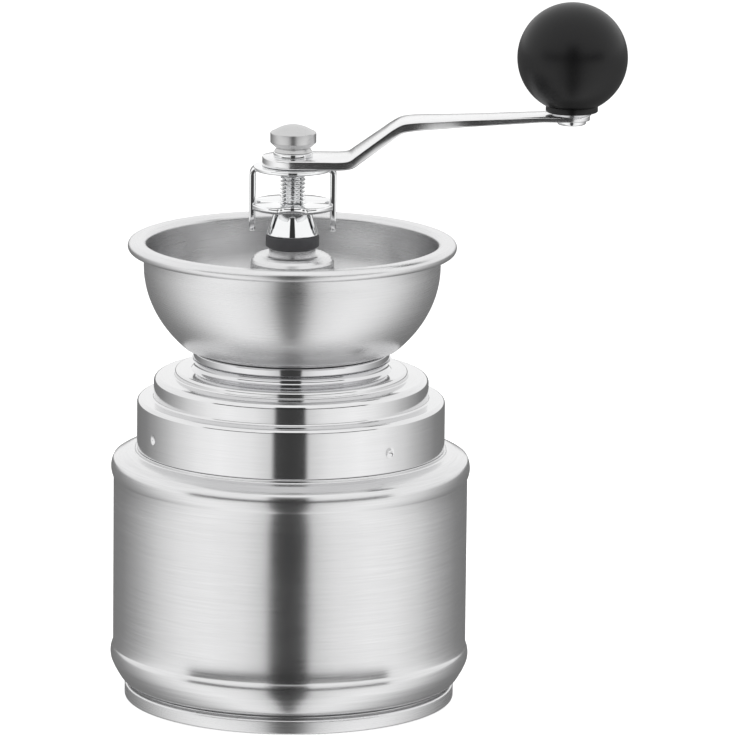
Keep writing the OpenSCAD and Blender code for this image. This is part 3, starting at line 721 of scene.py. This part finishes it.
def make_knob():
    low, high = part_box("knob")
    centre = ((low.x + high.x) / 2 / MM, (low.y + high.y) / 2 / MM)
    base, top = low.z / MM, high.z / MM
    ball_r = (high.x - low.x) / 2 / MM
    ball_z = top - ball_r
    neck = 8.3
    meet = math.degrees(math.asin((neck - 0.35) / ball_r))
    bore = 5.02
    profile = [(bore, base + 0.2), (bore + 0.2, base), (neck - 0.6, base)]
    profile += arc((neck - 0.45, base + 0.45), 0.45, -90, 0, 5)
    profile += [(neck - 0.05, base + 1.8), (neck - 0.32, base + 3.2)]
    profile += arc((0, ball_z), ball_r, -90 + meet + 1.2, 90, 60)
    profile[-1] = (0, top)
    profile += [(0, base + 17.9), (bore, base + 17.9)]
    knob = lathe("knob_ball", profile, 160, centre)
    finish_piece(knob, "knob", "knob", "black_knob")

    low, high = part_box("knob_pin")
    base, top = low.z / MM, high.z / MM
    wide = (high.x - low.x) / 2 / MM
    pin = [(0, base)] + arc((wide - 0.7, base + 0.7), 0.7, -90, 0, 6) + [(wide, base + 1.4), (3.0, base + 1.4)]
    pin += [(3.0, top - 1.5), (4.2, top - 1.5), (4.2, top - 0.5)] + arc((3.7, top - 0.5), 0.5, 0, 90, 4)
    pin += [(0, top)]
    finish_piece(lathe("knob_pin_skin", pin, FINE_SEGMENTS, centre), "spindle", "knob_pin", "chrome")


# ---------------------------------------------------------------- crank arm, stirrup


def strip_solid(name, stations, round_edge=0.45, corner_steps=3):
    """A flat bar through stations (centre, across, up, half width, half thickness) with rounded edges."""
    verts, faces = [], []
    loop = None
    for centre, across, up, half_w, half_t in stations:
        edge = min(round_edge, half_t * 0.95)
        ring = []
        for sx, sz, start in ((1, 1, 0), (-1, 1, 90), (-1, -1, 180), (1, -1, 270)):
            cx, cz = sx * (half_w - edge), sz * (half_t - edge)
            for k in range(corner_steps + 1):
                a = math.radians(start + 90 * k / corner_steps)
                ring.append((cx + edge * math.cos(a), cz + edge * math.sin(a)))
        loop = len(ring)
        for x, z in ring:
            verts.append(centre + across * x + up * z)
    for i in range(len(stations) - 1):
        for k in range(loop):
            m = (k + 1) % loop
            faces.append([i * loop + k, i * loop + m, (i + 1) * loop + m, (i + 1) * loop + k])
    faces.append(list(range(loop)))
    faces.append(list(range((len(stations) - 1) * loop, len(stations) * loop))[::-1])
    obj = new_object(name, verts, faces)
    smooth(obj, 35)
    return obj


def spaced(ends, share):
    """The point at a share of the way between two ends."""
    (x0, z0), (x1, z1) = ends
    return (x0 + (x1 - x0) * share, z0 + (z1 - z0) * share)


def make_crank_arm():
    """The arm as one bar of rounded section: round hub, cranked step, slim rising blade, round eye."""
    low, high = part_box("crank_arm")
    hub = (high.y - low.y) / 2 / MM
    arm_t, end_t, eye = 3.0, 1.8, 5.8
    mid = low.z / MM + arm_t / 2
    knob_low, knob_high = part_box("knob")
    reach = (knob_low.x + knob_high.x) / 2 / MM
    eye_mid = high.z / MM - end_t / 2
    step_top = mid + 12.4
    climb = [(20.5, mid + 2.1), (32.0, step_top - 1.9)]
    blade = [(39.5, step_top + 0.25), (reach - 9, eye_mid)]
    path = [(-hub, mid), (-hub / 2, mid), (0, mid), (5, mid), (10, mid), (14.5, mid), (18.0, mid + 0.45)]
    path += [spaced(climb, i / 4) for i in range(5)]
    path += [(35.0, step_top - 0.35)]
    path += [spaced(blade, i / 10) for i in range(11)]
    path += [(reach - 4, eye_mid), (reach + eye, eye_mid)]
    line = spline(path, 6)
    stations = []

    def half_width(x):
        if x < 0:
            return math.sqrt(max(hub ** 2 - x * x, 0.01))
        if x > reach:
            return math.sqrt(max(eye ** 2 - (x - reach) ** 2, 0.01))
        marks = [(0, hub), (15, hub - 0.15), (35, hub * 0.79), (58, eye + 0.1), (reach, eye)]
        for (x0, w0), (x1, w1) in zip(marks, marks[1:]):
            if x <= x1:
                t = (x - x0) / (x1 - x0)
                return w0 + (w1 - w0) * (t * t * (3 - 2 * t) if x1 - x0 > 16 else t)
        return eye

    fine = [(-hub * math.cos(math.radians(a)), mid) for a in range(2, 90, 6)]
    body = [p for p in line if 1 < p[0] < reach - 0.5]
    tip = [(reach + eye * math.sin(math.radians(a)), eye_mid) for a in range(0, 90, 7)]
    points = fine + body + tip
    for i, (x, z) in enumerate(points):
        before, after = points[max(i - 1, 0)], points[min(i + 1, len(points) - 1)]
        ahead = Vector((after[0] - before[0], 0, after[1] - before[1])).normalized()
        up = Vector((-ahead.z, 0, ahead.x))
        t = max(0.0, min(1.0, (x - 36) / (reach - 45)))
        thick = arm_t + (end_t - arm_t) * t
        stations.append((Vector((x, 0, z)), Vector((0, 1, 0)), up, half_width(x), thick / 2 * 0.995))
    arm = strip_solid("crank_arm_bar", stations, 0.55, 4)
    finish_piece(arm, "spindle", "crank_arm", "chrome", "satin_chrome")


def make_stirrup():
    """Round plate and two bent legs with rounded ends."""
    low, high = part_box("stirrup")
    top = high.z / MM
    out = (high.x - low.x) / 2 / MM
    base = low.z / MM
    plate_t, leg_t, half_w = 1.3, 2.0, 3.2
    plate_r = (high.y - low.y) / 2 / MM
    ring = rounded([(3.65, top - plate_t, 0.1), (plate_r, top - plate_t, 0.45), (plate_r, top, 0.45),
                    (3.65, top, 0.1)], 5)
    finish_piece(lathe("stirrup_plate", ring, 128), "stirrup", "stirrup", "chrome")
    for side in (-1, 1):
        bend = 3.0
        path = [(8.0, top - plate_t / 2, plate_t), (9.2, top - plate_t / 2, plate_t)]
        for k in range(10):
            a = math.radians(90 - 90 * k / 9)
            thick = plate_t + (leg_t - plate_t) * k / 9
            r = bend - thick / 2
            path.append((out - bend + r * math.cos(a), top - bend + r * math.sin(a), thick))
        for k in range(1, 12):
            path.append((out - leg_t / 2, top - bend - (top - bend - base - half_w) * k / 11, leg_t))
        for k in range(1, 10):
            path.append((out - leg_t / 2, base + half_w * (1 - math.sin(math.radians(10 * k * 0.98))), leg_t))
        stations = []
        for i, (x, z, thick) in enumerate(path):
            before, after = path[max(i - 1, 0)], path[min(i + 1, len(path) - 1)]
            ahead = Vector((after[0] - before[0], 0, after[1] - before[1])).normalized()
            drop = max(0.0, base + half_w - z)
            width = math.sqrt(max(half_w ** 2 - drop ** 2, 0.02))
            stations.append((Vector((side * x, 0, z)), Vector((0, 1, 0)),
                             Vector((side * -ahead.z, 0, ahead.x)), width, thick / 2 * 0.99))
        leg = strip_solid(f"stirrup_leg_{'left' if side < 0 else 'right'}", stations, 0.5, 4)
        finish_piece(leg, "stirrup", "stirrup", "chrome")


def make_spring():
    low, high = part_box("burr_spring")
    wire, coil, turns, per = 0.6, 5.7, 5, 40
    z0, z1 = low.z / MM + wire, high.z / MM - wire
    path = []
    for i in range(turns * per + 1):
        t = i / (turns * per)
        lead = min(1.0, max(0.0, (t - 0.12) / 0.76))
        a = 2 * math.pi * i / per
        path.append((coil * math.cos(a), coil * math.sin(a), z0 + (z1 - z0) * lead))
    coil_piece = sweep("burr_spring_coil", path, wire, 14)
    finish_piece(coil_piece, "rotor", "burr_spring", "hardware_steel")
    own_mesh(coil_piece)


make_canister()
make_head_cover()
make_neck_ring()
make_bowl()
make_upper_bush()
make_spindle()
make_adjusting_nut()
make_caps()
make_knob()
make_crank_arm()
make_stirrup()
make_spring()

KEPT_SLOTS = {row["node"]: row["material_slot"] for row in frame["record"]["subparts"]}
for node_name, node_object in frame["nodes"].items():
    if not node_object.data.materials:
        node_object.data.materials.append(None)
    for slot_index in range(len(node_object.data.materials)):
        node_object.data.materials[slot_index] = FINISH[KEPT_SLOTS[node_name]]
for kept in ("bridge", "bridge_screws", "burr_nut", "burr_washer"):
    bevelled(frame["nodes"][kept], 0.25)


# ---------------------------------------------------------------- studio


def floor_shader():
    """A matt white floor that lifts its own tone for the camera, so that only contact shadows show on it."""
    material = bpy.data.materials.new("floor_white")
    material.use_nodes = True
    tree = material.node_tree
    shader = tree.nodes["Principled BSDF"]
    shader.inputs["Base Color"].default_value = (0.86, 0.86, 0.86, 1)
    shader.inputs["Roughness"].default_value = 0.9
    shader.inputs["Specular IOR Level"].default_value = 0.0
    shader.inputs["Emission Color"].default_value = (1, 1, 1, 1)
    path = tree.nodes.new("ShaderNodeLightPath")
    seen = tree.nodes.new("ShaderNodeMath")
    seen.operation = "MULTIPLY"
    seen.inputs[1].default_value = 0.58
    tree.links.new(path.outputs["Is Camera Ray"], seen.inputs[0])
    tree.links.new(seen.outputs[0], shader.inputs["Emission Strength"])
    return material


class Sky:
    """What polished pieces reflect: the tone of the light tent round the object, by direction."""

    def __init__(self, tree):
        self.tree = tree

    def math(self, operation, a, b=0.0):
        node = self.tree.nodes.new("ShaderNodeMath")
        node.operation = operation
        for socket, value in zip(node.inputs, (a, b)):
            if isinstance(value, bpy.types.NodeSocket):
                self.tree.links.new(value, socket)
            else:
                socket.default_value = value
        return node.outputs[0]

    def ease(self, value, low, high, out_low=0.0, out_high=1.0):
        node = self.tree.nodes.new("ShaderNodeMapRange")
        node.interpolation_type = "SMOOTHSTEP"
        self.tree.links.new(value, node.inputs[0])
        for i, number in enumerate((low, high, out_low, out_high)):
            node.inputs[i + 1].default_value = number
        return node.outputs[0]

    def ramp(self, value, stops):
        node = self.tree.nodes.new("ShaderNodeValToRGB")
        elements = node.color_ramp.elements
        while len(elements) < len(stops):
            elements.new(0.5)
        for element, (at, tone) in zip(elements, stops):
            element.position = at
            element.color = (tone, tone, tone, 1)
        self.tree.links.new(value, node.inputs[0])
        return node.outputs[0]

    def blend(self, factor, a, b):
        """a where factor is 0 and b where it is 1."""
        return self.math("ADD", a, self.math("MULTIPLY", factor, self.math("SUBTRACT", b, a)))


DIFFUSE_LEVEL = 0.45  # tent light on matt surfaces
CEILING = 0.95  # share of the brightest tone straight above
PEAK = 1.18  # brightest tone of the tent
TENT_WALL = (  # degrees from the camera's side, share of the brightest tone
    (0, 0.05), (11.3, 0.06), (14.0, 0.70), (30, 0.90), (54, 1.0), (73, 0.93), (94, 0.72), (106, 0.54),
    (120, 0.38), (138, 0.24), (160, 0.18),
)


def tent_tone(tree):
    """Lit walls at either side, a narrow dark gap at the camera, dark floor behind and a bright top."""
    sky = Sky(tree)
    xyz = tree.nodes.new("ShaderNodeSeparateXYZ")
    tree.links.new(tree.nodes.new("ShaderNodeTexCoord").outputs["Generated"], xyz.inputs[0])
    side = sky.math("ABSOLUTE", xyz.outputs[0])
    away = sky.math("MULTIPLY", xyz.outputs[1], -1.0)
    turn = sky.math("DIVIDE", sky.math("ARCTAN2", side, away), math.pi)
    low = sky.ramp(turn, [(angle / 180, tone) for angle, tone in TENT_WALL])
    rise = xyz.outputs[2]
    sides = sky.math("MULTIPLY", sky.ease(turn, 32 / 180, 60 / 180), sky.ease(rise, 0.75, 0.40))
    behind = sky.ease(xyz.outputs[1], 0.05, 0.40)
    front = sky.math("MULTIPLY", sky.ease(turn, 69 / 180, 65 / 180), sky.ease(rise, 0.25, 0.20))
    high = sky.blend(sides, CEILING, 0.95)
    high = sky.blend(behind, high, 0.92)
    gap = sky.math("MULTIPLY", sky.ease(turn, 14 / 180, 12 / 180), sky.ease(rise, 0.60, 0.50))
    high = sky.blend(sky.math("MAXIMUM", front, gap), high, 0.03)
    return sky.math("MULTIPLY", sky.blend(sky.ease(rise, 0.0, 0.05), low, high), PEAK)


def soft_light(name, place, target, width, tall, power):
    data = bpy.data.lights.new(name, "AREA")
    data.shape = "RECTANGLE"
    data.size, data.size_y = width, tall
    data.energy = power
    lamp = bpy.data.objects.new(name, data)
    lamp.location = place
    lamp.rotation_euler = (Vector(target) - Vector(place)).to_track_quat("-Z", "Y").to_euler()
    bpy.context.scene.collection.objects.link(lamp)
    return lamp


def make_studio():
    floor = new_object("floor", [(-6, -6, 0), (6, -6, 0), (6, 6, 0), (-6, 6, 0)], [[0, 1, 2, 3]], 1.0)
    floor.location.z = -0.0003
    floor.data.materials.append(floor_shader())
    floor.visible_glossy = False

    world = bpy.data.worlds.new("studio")
    bpy.context.scene.world = world
    world.use_nodes = True
    tree = world.node_tree
    back = tree.nodes["Background"]
    back.inputs["Color"].default_value = (1, 1, 1, 1)
    sky = Sky(tree)
    path = tree.nodes.new("ShaderNodeLightPath")
    plain = sky.math("MAXIMUM", path.outputs["Is Camera Ray"], path.outputs["Is Transmission Ray"])
    level = sky.blend(path.outputs["Is Glossy Ray"], DIFFUSE_LEVEL, tent_tone(tree))
    tree.links.new(sky.blend(plain, level, 1.0), back.inputs["Strength"])

    for name, x in (("key_left", -1.25), ("key_right", 1.25)):
        soft_light(name, (x, -0.75, 0.75), (0, 0, 0.1), 0.9, 1.1, 9).visible_glossy = False
    soft_light("top", (0, 0.1, 1.5), (0, 0, 0.1), 1.0, 1.0, 8).visible_glossy = False


def make_camera():
    """The camera stands 2.45 m in front, 0.62 m up and looks down 11.9 degrees through a long lens."""
    data = bpy.data.cameras.new("camera")
    data.sensor_width = 36
    data.lens = 384.1
    data.clip_start, data.clip_end = 0.1, 60
    cam = bpy.data.objects.new("camera", data)
    cam.location = (0.0244, -2.447, 0.6237)
    tilt = Matrix.Rotation(math.radians(90 - 11.92), 4, "X") @ Matrix.Rotation(math.radians(0.6), 4, "Z")
    cam.rotation_euler = tilt.to_euler()
    bpy.context.scene.collection.objects.link(cam)
    bpy.context.scene.camera = cam


make_studio()
make_camera()
bpy.context.scene.view_settings.view_transform = "Standard"
